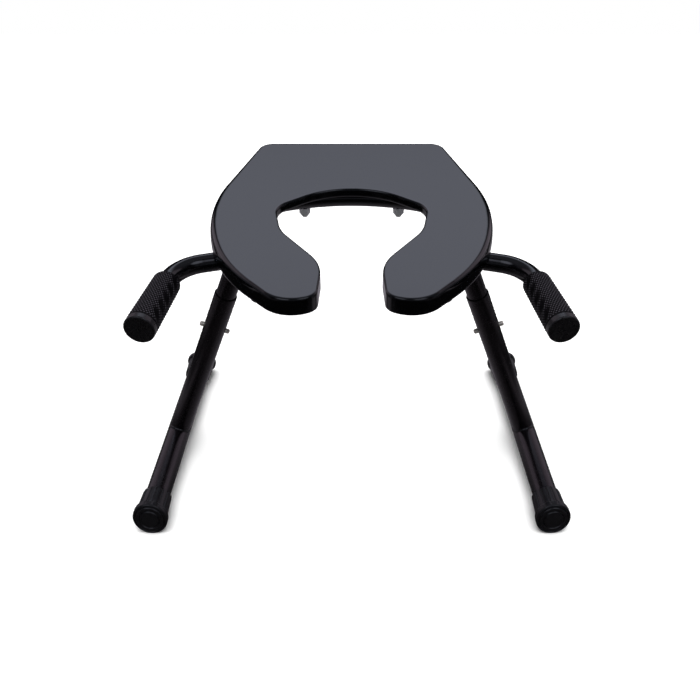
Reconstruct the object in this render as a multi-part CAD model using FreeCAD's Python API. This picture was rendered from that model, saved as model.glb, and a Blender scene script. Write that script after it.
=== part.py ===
import FreeCAD, Part
import math
import os

# A shower stool: a moulded open-front seat on a bent tube frame whose two ends are
# hand grips. Two splayed posts telescope into sleeves that stand on floor rails,
# and a pair of snap buttons locks each post at one of seven heights.
# Millimetres; -Y is the open front, +X is on the right of someone who faces that
# front, +Z is up and z = 0 is the floor. The model is drawn with the post plane at
# y = 0 and is moved at the end so that the origin is the centre of its bounding box
# on the floor.

V = FreeCAD.Vector
ORIGIN = V(0, 0, 0)
X_AXIS, Y_AXIS, Z_AXIS = V(1, 0, 0), V(0, 1, 0), V(0, 0, 1)

# ---- clearances -------------------------------------------------------------
SNUG = 0.05            # a piece pushed or screwed home on its seat
SLIDE_CLEARANCE = 0.08  # post in sleeve, on the radius
OVERCUT = 5.0          # how far a cutting tool runs past what it cuts

# ---- frame tube -------------------------------------------------------------
FRAME_R = 11.1         # 22.2 mm (7/8 inch) tube
TUBE_WALL = 1.5        # wall of the frame tube, posts and sleeves
FRAME_Z = 316.0        # height of the frame tube's axis
CROSSBAR_Y = 153.2     # rear-most point of the arched crossbar
CROSSBAR_R = 262.0     # radius of the arch
CROSSBAR_STRAIGHT = 1.1  # straight run between the arch and each rear bend
SIDE_X = 120.8         # side runs
BEND_R = 50.0          # rear bends and arm bends
GRIP_BEND_R = 46.0     # bends into the grips
GRIP_CORNER = (205.2, -27.4)   # where the arm's line meets the grip's line
ARM_SWEEP = 16.0       # arms lean forward from straight sideways, degrees
GRIP_TOE = 6.7         # grips spread outwards from straight ahead, degrees

# ---- grips ------------------------------------------------------------------
GRIP_START = 31.0      # all along the grip line, measured from GRIP_CORNER
GRIP_END = 124.2
GRIP_R_REAR = 15.8
GRIP_R_FRONT = 16.8
GRIP_SHOULDER = 4.2    # rounding at the rear of the rubber sleeve
GRIP_MOUTH_LAND = 0.4  # flat ring left between that rounding and the tube
GRIP_CAP_LENGTH = 8.0
GRIP_CAP_R = 17.0
GRIP_CAP_ROUND = 2.0
GRIP_GROOVE = 0.8      # dark joint between the sleeve and the cap
GRIP_TUBE_GAP = 1.2    # how far the tube stops short of the cap
GRIP_STEM_LENGTH = 14.0
GRIP_DIMPLE_R = 1.3
GRIP_DIMPLE_DEPTH = 0.8

# ---- seat -------------------------------------------------------------------
SEAT_HEIGHT = 20.3     # outer skirt, top face to bottom edge
SEAT_GAP = 0.3         # between the frame tube and the skirt's bottom edge
SEAT_PLATE = 4.0
SEAT_WALL = 3.0
SEAT_TOP_ROUND = 2.2
SEAT_ROUND_STEPS = 5   # levels that the top edge's rounding is drawn through
SEAT_WALL_STEPS = 5    # levels that the bulging wall below it is drawn through
SEAT_BULGE = 2.3       # the wall's section: 1 is straight, 2 is an ellipse's quarter
SEAT_FOOT_BEVEL = 0.8
INNER_LIP_HEIGHT = 10.5  # the wall round the opening is shallower
INNER_LIP_FRONT = -75.0  # and starts this far forward
SEAT_REAR = 267.0
OPENING_REAR = 113.5
# Corners of the right half of the top's outline, from the rear edge round the side
# and the front tip to the opening's rear: x, y, the radius that rounds the corner,
# and how far the skirt's foot flares out beyond the top there.
SEAT_CORNERS = [
    (129.0, SEAT_REAR, 20.0, 2.8),
    (176.5, 61.5, 275.0, 7.4),
    (143.5, -66.0, 225.0, 4.6),
    (71.7, -149.2, 38.5, 1.0),
    (35.6, -132.9, 16.2, 0.0),
    (32.4, -70.0, 72.0, 0.0),
    (84.5, 5.7, 75.0, 0.0),
    (94.7, 64.2, 30.0, 0.0),
    (34.6, OPENING_REAR, 95.0, 0.0),
]
RIB_THICKNESS = 2.5
RIB_HEIGHT = 6.0
REAR_RIB_XS = [0.0, 36.0, 96.0]
SIDE_RIB_YS = [20.0, 100.0, 200.0, -45.0]

# ---- seat fixings: bolts moulded into bosses, locked under the frame tube ----
REAR_BOLT_X = 64.5
SIDE_BOLT_Y = 60.0
BOSS_R = 10.0
BOLT_R = 4.0
BOLT_HOLE_CLEARANCE = 0.25
HEX_ACROSS_FLATS = 13.0
BOLT_HEAD_HEIGHT = 5.3
BOLT_HEAD_DROP = 1.0   # plastic between the plate's underside and the head
BOLT_END_Z = 293.0
SADDLE_R = 8.0
SADDLE_FOOT = 1.3      # saddle washer's thickness below the tube
SADDLE_HEIGHT = 3.7    # overall, with the sides that reach up round the tube
NUT_HEIGHT = 6.4
NUT_CONE_SLOPE = 2.0   # bevel of the nuts' lower corners: radius gained per mm of height
LOCK_RING_R = 5.7
LOCK_RING_HEIGHT = 1.5

# ---- bumpers under the seat's front arms --------------------------------------
BUMPER_AT = (99.5, -95.0)
BUMPER_R = 11.5
BUMPER_ROUND = 4.5
BUMPER_DROP = 10.4     # below the skirt's bottom edge
BUMPER_BOSS_R = 7.0
BUMPER_STEM_R = 4.0
BUMPER_STEM_LENGTH = 9.0

# ---- posts and sleeves --------------------------------------------------------
POST_R = 12.7          # 25.4 mm (1 inch) tube
SPLAY = 21.7           # posts lean outwards from vertical, degrees
POST_TOP_INSET = 4.0   # where the post starts, below the frame tube's axis
SLEEVE_TOP = 60.7      # these are distances along the post axis from the frame axis
BUTTON_BELOW_TOP = 55.0
POST_BELOW_BUTTON = 24.0
HOLE_PITCH = 12.7
HOLE_STEPS = 3         # holes above and below the one in use
BUTTON_HOLE_R = 3.5
SLEEVE_R = POST_R + SLIDE_CLEARANCE + TUBE_WALL

# ---- snap buttons ---------------------------------------------------------------
BUTTON_R = 3.2
BUTTON_PROUD = 5.5     # beyond the sleeve
BUTTON_DOME = 2.0
BUTTON_FLANGE_R = 4.6
BUTTON_FLANGE_T = 1.3
CLIP_HALF_SPAN = 8.3   # outer faces of the clip's two arms from the post axis
CLIP_THICKNESS = 0.8
CLIP_WIDTH = 8.0
CLIP_ABOVE = 26.0      # from the button to the centre of the clip's bend
CLIP_BELOW = 6.0

# ---- floor rails and feet ---------------------------------------------------------
RAIL_R = 15.9          # 31.8 mm (1 1/4 inch) tube
RAIL_WALL = 1.6
RAIL_TOE = 2.46        # rails spread towards the front, degrees
FOOT_REACH = 162.0     # from the sleeve to the foot's end face
FOOT_LENGTH = 39.5
FOOT_FLANGE_R = 22.5
FOOT_FLANGE_T = 9.5
FOOT_FLANGE_ROUND = 2.4
FOOT_FLAT = 0.5        # moulded flat that the flange stands on
FOOT_COLLAR_R_OPEN = 18.7
FOOT_FLANGE_STEP = 2.5  # the flange stands out this far beyond the collar
FOOT_COLLAR_R_FLANGE = FOOT_FLANGE_R - FOOT_FLANGE_STEP
FOOT_FLOOR = 9.5       # rubber between the rail's end and the end face
FOOT_FLUTES = 16
FOOT_FLUTE_R = 1.4
FOOT_FLUTE_DEPTH = 0.9
FOOT_RING_RS = [12.6, 18.6]
FOOT_RING_WIDTH = 1.4
FOOT_RING_DEPTH = 0.7
RAIL_Z = FOOT_FLANGE_R - FOOT_FLAT

# ---- welds ------------------------------------------------------------------------
WELD_LEG = 2.4
WELD_SIDE = 0.8        # bead beside the post, where the post is wider than the frame tube


# ---- geometry helpers ---------------------------------------------------------------
def rounded_run(corners, z, closed=False):
    """A wire of straight runs joined by tangent arcs; corners are (x, y, radius).

    An arc is drawn in where its run is too short for it and its neighbour.
    """
    points = [V(x, y, z) for x, y, _ in corners]
    count = len(points)
    ends = () if closed else (0, count - 1)
    halves = [(points[i - 1] - points[i]).getAngle(points[(i + 1) % count] - points[i]) / 2
              for i in range(count)]
    wanted = [0 if i in ends else corners[i][2] / math.tan(halves[i]) for i in range(count)]
    reaches = list(wanted)
    for i in range(count if closed else count - 1):
        j = (i + 1) % count
        room = (points[j] - points[i]).Length - SNUG
        share = min(1, room / max(wanted[i] + wanted[j], SNUG))
        reaches[i] = min(reaches[i], wanted[i] * share)
        reaches[j] = min(reaches[j], wanted[j] * share)
    bends = []
    for i, here in enumerate(points):
        if i in ends:
            bends.append((here, here, here))
            continue
        back = (points[i - 1] - here).normalize()
        ahead = (points[(i + 1) % count] - here).normalize()
        radius = reaches[i] * math.tan(halves[i])
        nearest = here + (back + ahead).normalize() * (radius / math.sin(halves[i]) - radius)
        bends.append((here + back * reaches[i], nearest, here + ahead * reaches[i]))
    edges = []
    for i, (start, nearest, end) in enumerate(bends):
        if start != end:
            edges.append(Part.Arc(start, nearest, end).toShape())
        if closed or i < count - 1:
            edges.append(Part.LineSegment(end, bends[(i + 1) % count][0]).toShape())
    return Part.Wire(edges)


def offset_corners(corners, distances):
    """Corners of a closed clockwise outline moved outwards, each by its own distance."""
    moved = []
    for i, ((x, y, radius), distance) in enumerate(zip(corners, distances)):
        here = V(x, y, 0)
        before = (here - V(*corners[i - 1][:2], 0)).normalize()
        after = (V(*corners[(i + 1) % len(corners)][:2], 0) - here).normalize()
        outward = (before + after).normalize().cross(Z_AXIS) * -1
        convex = before.cross(after).z < 0
        half_turn = before.getAngle(after) / 2
        place = here + outward * (distance / math.cos(half_turn))
        moved.append((place.x, place.y, radius + (distance if convex else -distance)))
    return moved


def lofted(outlines, straight=True):
    """A solid through closed outlines that have the same corners; outlines are (corners, z)."""
    wires = [rounded_run(corners, z, closed=True) for corners, z in outlines]
    return Part.makeLoft(wires, True, straight)


def mirror_x(shape):
    """The same piece on the other side."""
    return shape.mirror(ORIGIN, X_AXIS)


def cylinder(radius, start, end):
    """A solid cylinder from one point to another."""
    axis = end - start
    return Part.makeCylinder(radius, axis.Length, start, axis)


def tube(radius, wall, start, end):
    """A round tube from one point to another."""
    return cylinder(radius, start, end).cut(cylinder(radius - wall, start, end))


def hexagon(across_flats, height, base):
    """An upright hexagonal prism standing on a point."""
    corner_r = across_flats / 2 / math.cos(math.pi / 6)
    ring = [base + V(corner_r * math.cos(k * math.pi / 3), corner_r * math.sin(k * math.pi / 3), 0)
            for k in range(7)]
    return Part.Face(Part.makePolygon(ring)).extrude(V(0, 0, height))


def revolved(profile):
    """A solid of revolution about Z from (radius, z) points."""
    points = [V(r, 0, z) for r, z in profile]
    face = Part.Face(Part.makePolygon(points + [points[0]]))
    return face.revolve(ORIGIN, Z_AXIS, 360)


def edges_at(shape, test):
    """Edges of a shape whose every vertex passes a test."""
    return [e for e in shape.Edges if all(test(v.Point) for v in e.Vertexes)]


# ---- places worked out from the sizes above --------------------------------------------
def heading(degrees):
    """Unit vector for the right side: 0 is straight out to the side, 90 straight ahead."""
    turn = math.radians(degrees)
    return V(math.cos(turn), -math.sin(turn), 0)


def crossbar_slope():
    """The crossbar's slope where its arch ends, so that the rear bends end on the side runs."""
    run = math.hypot(CROSSBAR_R - BEND_R, CROSSBAR_STRAIGHT)
    return math.asin((SIDE_X - BEND_R) / run) - math.atan2(CROSSBAR_STRAIGHT, CROSSBAR_R - BEND_R)


def frame_corners():
    """Corners of the frame tube's centre line, right grip end first."""
    slope = crossbar_slope()
    apex_y = CROSSBAR_Y + CROSSBAR_R * (1 / math.cos(slope) - 1)
    rear_y = apex_y - SIDE_X * math.tan(slope)
    arm_y = GRIP_CORNER[1] + (GRIP_CORNER[0] - SIDE_X) * math.tan(math.radians(ARM_SWEEP))
    tube_end = grip_point(GRIP_END - GRIP_CAP_LENGTH - GRIP_TUBE_GAP)
    return [
        (tube_end.x, tube_end.y, 0),
        (GRIP_CORNER[0], GRIP_CORNER[1], GRIP_BEND_R),
        (SIDE_X, arm_y, BEND_R),
        (SIDE_X, rear_y, BEND_R),
        (0, apex_y, CROSSBAR_R),
        (-SIDE_X, rear_y, BEND_R),
        (-SIDE_X, arm_y, BEND_R),
        (-GRIP_CORNER[0], GRIP_CORNER[1], GRIP_BEND_R),
        (-tube_end.x, tube_end.y, 0),
    ]


def grip_point(distance):
    """A point on the right grip's axis, so far from the grip corner."""
    return V(GRIP_CORNER[0], GRIP_CORNER[1], FRAME_Z) + heading(90 - GRIP_TOE) * distance


def crossbar_y(x):
    """The arched crossbar's centre line at a distance from the middle."""
    return CROSSBAR_Y - CROSSBAR_R + math.sqrt(CROSSBAR_R ** 2 - x ** 2)


def post_top():
    """Where the right post's axis meets the centre line of the arm bend, at y = 0."""
    arm_corner_y = frame_corners()[2][1]
    reach = BEND_R * math.tan(math.radians(90 - ARM_SWEEP) / 2)
    centre_y = arm_corner_y + reach
    centre_x = SIDE_X + BEND_R
    return V(centre_x - math.sqrt(BEND_R ** 2 - centre_y ** 2), 0, FRAME_Z)


def on_post(shape):
    """Place a piece drawn about Z, with z = 0 at the frame axis, on the right post."""
    placed = shape.copy()
    placed.rotate(ORIGIN, Y_AXIS, -SPLAY)
    placed.translate(post_top())
    return placed


def rail_distance():
    """From the frame axis to the rail axis, along the post."""
    return (FRAME_Z - RAIL_Z) / math.cos(math.radians(SPLAY))


def rail_centre():
    """Where the right post's axis meets the right rail's axis."""
    return V(post_top().x + (FRAME_Z - RAIL_Z) * math.tan(math.radians(SPLAY)), 0, RAIL_Z)


def on_rail(shape):
    """Place a piece drawn about the Y axis at the origin on the right rail."""
    placed = shape.copy()
    placed.rotate(ORIGIN, Z_AXIS, RAIL_TOE)
    placed.translate(rail_centre())
    return placed


def button_depth():
    """The snap buttons' distance from the frame axis, along the post."""
    return SLEEVE_TOP + BUTTON_BELOW_TOP


SKIRT_Z = FRAME_Z + FRAME_R + SEAT_GAP
SEAT_TOP_Z = SKIRT_Z + SEAT_HEIGHT
PLATE_Z = SEAT_TOP_Z - SEAT_PLATE


def bolt_places():
    """The four seat bolts: two through the crossbar, one through each side run."""
    return [(side * x, y) for side in (1, -1)
            for x, y in ((REAR_BOLT_X, crossbar_y(REAR_BOLT_X)), (SIDE_X, SIDE_BOLT_Y))]


# ---- frame -----------------------------------------------------------------------------
def frame_bar(radius):
    """A solid bar of any radius along the frame tube's centre line."""
    path = rounded_run(frame_corners(), FRAME_Z)
    first, second = frame_corners()[0], frame_corners()[1]
    start = V(first[0], first[1], FRAME_Z)
    along = V(second[0], second[1], FRAME_Z) - start
    ring = Part.Wire(Part.makeCircle(radius, start, along))
    return path.makePipeShell([ring], True, False)


def frame_tube():
    """The bent tube with its four bolt holes."""
    body = frame_bar(FRAME_R).cut(frame_bar(FRAME_R - TUBE_WALL))
    reach = FRAME_R + OVERCUT
    for x, y in bolt_places():
        hole = cylinder(BOLT_R + BOLT_HOLE_CLEARANCE, V(x, y, FRAME_Z - reach), V(x, y, FRAME_Z + reach))
        body = body.cut(hole)
    return body


def post():
    """The right post: its top is shaped to the frame tube and its sides are drilled."""
    bottom = button_depth() + POST_BELOW_BUTTON
    body = tube(POST_R, TUBE_WALL, V(0, 0, -bottom), V(0, 0, -POST_TOP_INSET))
    hole = cylinder(BUTTON_HOLE_R, V(-POST_R - OVERCUT, 0, -button_depth()),
                    V(POST_R + OVERCUT, 0, -button_depth()))
    return on_post(body.cut(hole)).cut(frame_bar(FRAME_R + SNUG))


def post_weld():
    """The bead round the right post where it meets the frame tube."""
    bottom = -button_depth()
    around = on_post(cylinder(POST_R + WELD_LEG, V(0, 0, bottom), V(0, 0, -POST_TOP_INSET)))
    bead = around.common(frame_bar(max(FRAME_R + WELD_LEG, POST_R + WELD_SIDE)))
    core = on_post(cylinder(POST_R + SNUG, V(0, 0, bottom - OVERCUT), V(0, 0, OVERCUT)))
    return bead.cut(core).cut(frame_bar(FRAME_R + SNUG))


# ---- grips -----------------------------------------------------------------------------
def on_grip(shape):
    """Place a piece drawn about Z, with +Z towards the front, on the right grip's line."""
    placed = shape.copy()
    placed.rotate(ORIGIN, X_AXIS, 90)
    placed.rotate(ORIGIN, Z_AXIS, GRIP_TOE)
    placed.translate(grip_point(0))
    return placed


def grip():
    """The textured rubber sleeve, thicker towards its front end."""
    front = GRIP_END - GRIP_CAP_LENGTH - GRIP_GROOVE
    bore = FRAME_R + SNUG
    body = revolved([(bore, GRIP_START), (GRIP_R_REAR, GRIP_START),
                     (GRIP_R_FRONT, front), (bore, front)])
    shoulder = edges_at(body, lambda p: p.z < GRIP_START + SNUG and math.hypot(p.x, p.y) > bore + SNUG)
    rounding = min(GRIP_SHOULDER, GRIP_R_REAR - bore - GRIP_MOUTH_LAND)
    return on_grip(body.makeFillet(rounding, shoulder))


def grip_cap():
    """The smooth end cap with its stem inside the tube and a moulded centre dimple."""
    back = GRIP_END - GRIP_CAP_LENGTH
    stem_r = FRAME_R - TUBE_WALL - SNUG
    cap = cylinder(GRIP_CAP_R, V(0, 0, back), V(0, 0, GRIP_END))
    rim = edges_at(cap, lambda p: p.z > GRIP_END - SNUG)
    cap = cap.makeFillet(GRIP_CAP_ROUND, rim)
    stem = cylinder(stem_r, V(0, 0, back - GRIP_STEM_LENGTH), V(0, 0, back))
    dimple = cylinder(GRIP_DIMPLE_R, V(0, 0, GRIP_END - GRIP_DIMPLE_DEPTH), V(0, 0, GRIP_END + OVERCUT))
    return on_grip(cap.fuse(stem).cut(dimple).removeSplitter())


# ---- seat ------------------------------------------------------------------------------
def seat_outline(height, inset=0.0):
    """The outline at a height above the skirt's foot, drawn in by an inset."""
    half = [corner[:3] for corner in SEAT_CORNERS]
    share = (1 - (height / SEAT_HEIGHT) ** SEAT_BULGE) ** (1 / SEAT_BULGE)
    flare = [corner[3] * share - inset for corner in SEAT_CORNERS]
    whole = half + [(-x, y, r) for x, y, r in reversed(half)]
    return offset_corners(whole, flare + flare[::-1])


def seat_block():
    """The seat before it is hollowed: a bevelled foot, a bulging flared wall and a rounded top."""
    round_base = SEAT_HEIGHT - SEAT_TOP_ROUND
    foot = [(0, SEAT_FOOT_BEVEL), (SEAT_FOOT_BEVEL, 0)]
    rise = (round_base - SEAT_FOOT_BEVEL) / SEAT_WALL_STEPS
    wall = [(SEAT_FOOT_BEVEL + k * rise, 0) for k in range(SEAT_WALL_STEPS + 1)]
    turns = [math.pi / 2 * k / SEAT_ROUND_STEPS for k in range(SEAT_ROUND_STEPS + 1)]
    top = [(round_base + SEAT_TOP_ROUND * math.sin(turn), SEAT_TOP_ROUND * (1 - math.cos(turn)))
           for turn in turns]
    layers = []
    for levels in (foot, wall, top):
        outlines = [(seat_outline(height, inset), SKIRT_Z + height) for height, inset in levels]
        layers.append(lofted(outlines, straight=levels is foot))
    return layers[0].fuse(layers[1:]).removeSplitter()


def pocket():
    """The hollow under the seat's plate, inside its skirt."""
    depth = PLATE_Z - SKIRT_Z
    return lofted([(seat_outline(0, SEAT_WALL), SKIRT_Z), (seat_outline(depth, SEAT_WALL), PLATE_Z)])


def rib_slabs(hollow):
    """The plates that the stiffening ribs are left of, where the hollow isn't cut."""
    box = hollow.BoundBox
    base_z = PLATE_Z - RIB_HEIGHT
    height = RIB_HEIGHT + OVERCUT
    slabs = []
    for x in REAR_RIB_XS:
        for place in sorted({x, -x}):
            slabs.append(Part.makeBox(RIB_THICKNESS, box.YMax - OPENING_REAR, height,
                                      V(place - RIB_THICKNESS / 2, OPENING_REAR, base_z)))
    for y in SIDE_RIB_YS:
        slabs.append(Part.makeBox(box.XLength, RIB_THICKNESS, height,
                                  V(box.XMin, y - RIB_THICKNESS / 2, base_z)))
    return slabs


def bumper_places():
    """Where the two bumpers sit, right one first."""
    return [(side * BUMPER_AT[0], BUMPER_AT[1]) for side in (1, -1)]


def seat():
    """The moulded shell: plate, skirt, shallow inner lip, ribs and fixing bosses."""
    body = seat_block()
    hollow = pocket()
    body = body.cut(hollow.cut(rib_slabs(hollow)))
    body = body.cut(inner_lip_space())
    bosses = [cylinder(BOSS_R, V(x, y, FRAME_Z), V(x, y, PLATE_Z + SNUG)) for x, y in bolt_places()]
    bosses += [cylinder(BUMPER_BOSS_R, V(x, y, SKIRT_Z), V(x, y, PLATE_Z + SNUG))
               for x, y in bumper_places()]
    body = body.fuse(bosses)
    tools = [frame_bar(FRAME_R + SEAT_GAP)]
    tools += [seat_bolt(x, y, SNUG) for x, y in bolt_places()]
    tools += [cylinder(BUMPER_STEM_R + SNUG, V(x, y, SKIRT_Z - OVERCUT),
                       V(x, y, SKIRT_Z + BUMPER_STEM_LENGTH + SNUG)) for x, y in bumper_places()]
    return body.cut(tools).removeSplitter()


def inner_lip_space():
    """The band below the shallow lip: the opening widened by the wall, up to the lip."""
    reach = SEAT_CORNERS[2][0] - SEAT_WALL
    window = Part.makePlane(2 * reach, OPENING_REAR + SEAT_WALL + OVERCUT - INNER_LIP_FRONT,
                            V(-reach, INNER_LIP_FRONT, SKIRT_Z))
    opening = window.cut(Part.Face(rounded_run(seat_outline(0), SKIRT_Z, closed=True)))
    hole = max(opening.Faces, key=lambda face: face.Area)
    widened = hole.makeOffset2D(SEAT_WALL + SNUG)
    widened.translate(V(0, 0, -OVERCUT))
    return widened.extrude(V(0, 0, OVERCUT + SEAT_HEIGHT - INNER_LIP_HEIGHT))


def seat_bolt(x, y, extra=0.0):
    """One moulded-in hexagon bolt, head up; extra widens it all round for its pocket."""
    head_top = PLATE_Z - BOLT_HEAD_DROP
    head_base = head_top - BOLT_HEAD_HEIGHT
    head = hexagon(HEX_ACROSS_FLATS + 2 * extra, BOLT_HEAD_HEIGHT + 2 * extra,
                   V(x, y, head_base - extra))
    shank = cylinder(BOLT_R + extra, V(x, y, BOLT_END_Z - extra), V(x, y, head_base))
    return head.fuse(shank).removeSplitter()


def seat_bolts():
    """All four bolts."""
    return Part.makeCompound([seat_bolt(x, y) for x, y in bolt_places()])


def saddle_base_z():
    """The underside of the saddle washers."""
    return FRAME_Z - FRAME_R - SADDLE_FOOT


def saddle_washers():
    """Washers hollowed on top to seat on the round tube."""
    bar = frame_bar(FRAME_R + SNUG)
    washers = []
    for x, y in bolt_places():
        blank = tube(SADDLE_R, SADDLE_R - BOLT_R - SNUG, V(x, y, saddle_base_z()),
                     V(x, y, saddle_base_z() + SADDLE_HEIGHT))
        washers.append(max(blank.cut(bar).Solids, key=lambda solid: solid.Volume))
    return Part.makeCompound(washers)


def lock_nuts():
    """Hexagon nuts below the saddle washers."""
    nuts = []
    for x, y in bolt_places():
        base = V(x, y, saddle_base_z() - NUT_HEIGHT)
        blank = hexagon(HEX_ACROSS_FLATS, NUT_HEIGHT, base)
        cone = Part.makeCone(HEX_ACROSS_FLATS / 2, HEX_ACROSS_FLATS / 2 + NUT_HEIGHT * NUT_CONE_SLOPE,
                             NUT_HEIGHT, base)
        bore = cylinder(BOLT_R + SNUG, base, base + V(0, 0, NUT_HEIGHT))
        nuts.append(blank.common(cone).cut(bore))
    return Part.makeCompound(nuts)


def lock_rings():
    """Nylon locking rings at the nuts' lower ends."""
    top = saddle_base_z() - NUT_HEIGHT
    return Part.makeCompound([tube(LOCK_RING_R, LOCK_RING_R - BOLT_R - SNUG,
                                   V(x, y, top - LOCK_RING_HEIGHT), V(x, y, top))
                              for x, y in bolt_places()])


def bumpers():
    """Rubber bumpers plugged into bosses under the seat's front arms."""
    base_z = SKIRT_Z - BUMPER_DROP
    both = []
    for x, y in bumper_places():
        pad = cylinder(BUMPER_R, V(x, y, base_z), V(x, y, SKIRT_Z))
        pad = pad.makeFillet(BUMPER_ROUND, edges_at(pad, lambda p: p.z < base_z + SNUG))
        stem = cylinder(BUMPER_STEM_R, V(x, y, SKIRT_Z), V(x, y, SKIRT_Z + BUMPER_STEM_LENGTH))
        both.append(pad.fuse(stem).removeSplitter())
    return Part.makeCompound(both)


# ---- snap buttons ------------------------------------------------------------------------
def button(side):
    """One snap button of the right post; side 1 faces outwards and -1 inwards."""
    back = CLIP_HALF_SPAN + SNUG
    tip = SLEEVE_R + BUTTON_PROUD
    flange = cylinder(BUTTON_FLANGE_R, V(back, 0, 0), V(back + BUTTON_FLANGE_T, 0, 0))
    pin = cylinder(BUTTON_R, V(back + BUTTON_FLANGE_T, 0, 0), V(tip, 0, 0))
    pin = pin.makeFillet(BUTTON_DOME, edges_at(pin, lambda p: p.x > tip - SNUG))
    one = flange.fuse(pin).removeSplitter()
    if side < 0:
        one = mirror_x(one)
    one.translate(V(0, 0, -button_depth()))
    return on_post(one)


def spring_clip():
    """The U-shaped leaf inside the right post that carries both buttons."""
    outer, inner = CLIP_HALF_SPAN, CLIP_HALF_SPAN - CLIP_THICKNESS
    bend_z = CLIP_ABOVE - button_depth()
    end_z = -button_depth() - CLIP_BELOW

    def half_ring(radius):
        return Part.Arc(V(-radius, 0, bend_z), V(0, 0, bend_z + radius), V(radius, 0, bend_z)).toShape()

    def line(start, end):
        return Part.LineSegment(V(start[0], 0, start[1]), V(end[0], 0, end[1])).toShape()

    edges = [half_ring(outer), half_ring(inner)]
    for side in (1, -1):
        edges.append(line((side * outer, bend_z), (side * outer, end_z)))
        edges.append(line((side * inner, bend_z), (side * inner, end_z)))
        edges.append(line((side * outer, end_z), (side * inner, end_z)))
    face = Part.Face(Part.Wire(Part.__sortEdges__(edges)))
    leaf = face.extrude(V(0, CLIP_WIDTH, 0))
    leaf.translate(V(0, -CLIP_WIDTH / 2, 0))
    return on_post(leaf)


# ---- legs ----------------------------------------------------------------------------------
def sleeve():
    """The right sleeve: drilled for seven heights, its foot shaped to the rail."""
    body = tube(SLEEVE_R, TUBE_WALL, V(0, 0, -rail_distance()), V(0, 0, -SLEEVE_TOP))
    for step in range(-HOLE_STEPS, HOLE_STEPS + 1):
        depth = button_depth() + step * HOLE_PITCH
        reach = SLEEVE_R + OVERCUT
        hole = cylinder(BUTTON_HOLE_R, V(-reach, 0, -depth), V(reach, 0, -depth))
        body = body.cut(hole)
    body = on_post(body).cut(rail_bar(RAIL_R + SNUG))
    return max(body.Solids, key=lambda solid: solid.Volume)


def rail_bar(radius):
    """A solid bar of any radius along the right rail's axis."""
    return on_rail(cylinder(radius, V(0, -FOOT_REACH, 0), V(0, FOOT_REACH, 0)))


def sleeve_weld():
    """The bead round the right sleeve where it stands on the rail."""
    length = rail_distance()
    around = on_post(cylinder(SLEEVE_R + WELD_LEG, V(0, 0, -length), V(0, 0, -SLEEVE_TOP)))
    core = on_post(cylinder(SLEEVE_R + SNUG, V(0, 0, -length - OVERCUT), V(0, 0, -SLEEVE_TOP + OVERCUT)))
    bead = around.common(rail_bar(RAIL_R + WELD_LEG)).cut(core).cut(rail_bar(RAIL_R + SNUG))
    return max(bead.Solids, key=lambda solid: solid.Volume)


def rail():
    """The right floor rail."""
    half = FOOT_REACH - FOOT_FLOOR - SNUG
    return on_rail(tube(RAIL_R, RAIL_WALL, V(0, -half, 0), V(0, half, 0)))


def foot(end):
    """A rubber end cap of the right rail; end 1 is the front one and -1 the rear one."""
    mouth = FOOT_REACH - FOOT_LENGTH
    flange_back = FOOT_REACH - FOOT_FLANGE_T
    floor = FOOT_REACH - FOOT_FLOOR
    bore = RAIL_R + SNUG
    body = revolved([(bore, mouth), (FOOT_COLLAR_R_OPEN, mouth), (FOOT_COLLAR_R_FLANGE, flange_back),
                     (FOOT_FLANGE_R, flange_back), (FOOT_FLANGE_R, FOOT_REACH), (0, FOOT_REACH),
                     (0, floor), (bore, floor)])
    rim = edges_at(body, lambda p: math.hypot(p.x, p.y) > FOOT_FLANGE_R - SNUG)
    rim = [e for e in rim if e.Curve.TypeId == "Part::GeomCircle"]
    body = body.makeFillet(min(FOOT_FLANGE_ROUND, FOOT_FLANGE_STEP - SNUG), rim)
    lift = FOOT_FLUTE_R - FOOT_FLUTE_DEPTH
    for k in range(FOOT_FLUTES):
        turn = 2 * math.pi * (k + 0.5) / FOOT_FLUTES
        out = V(math.cos(turn), math.sin(turn), 0)
        start = out * (FOOT_COLLAR_R_OPEN + lift) + V(0, 0, mouth)
        end_point = out * (FOOT_COLLAR_R_FLANGE + lift) + V(0, 0, flange_back)
        run_out = (start - end_point).normalize() * OVERCUT
        body = body.cut(cylinder(FOOT_FLUTE_R, start + run_out, end_point))
    for radius in FOOT_RING_RS:
        ring = tube(radius + FOOT_RING_WIDTH / 2, FOOT_RING_WIDTH, V(0, 0, FOOT_REACH - FOOT_RING_DEPTH),
                    V(0, 0, FOOT_REACH + OVERCUT))
        body = body.cut(ring)
    body.rotate(ORIGIN, X_AXIS, 90)
    if end < 0:
        body.rotate(ORIGIN, Z_AXIS, 180)
    reach = FOOT_REACH + FOOT_FLANGE_R
    corner = rail_centre() - V(reach, reach, RAIL_Z + OVERCUT)
    ground = Part.makeBox(2 * reach, 2 * reach, OVERCUT, corner)
    return on_rail(body).cut(ground)


# ---- assembly --------------------------------------------------------------------------------
def middle_y():
    """Half way between the front feet's end faces and the rear edge of the seat's foot."""
    toe = math.radians(RAIL_TOE)
    front = FOOT_REACH * math.cos(toe) + (FOOT_FLANGE_R - FOOT_FLANGE_ROUND) * math.sin(toe)
    rear = max(y for _, y, _ in seat_outline(0))
    return (rear - front) / 2


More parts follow.
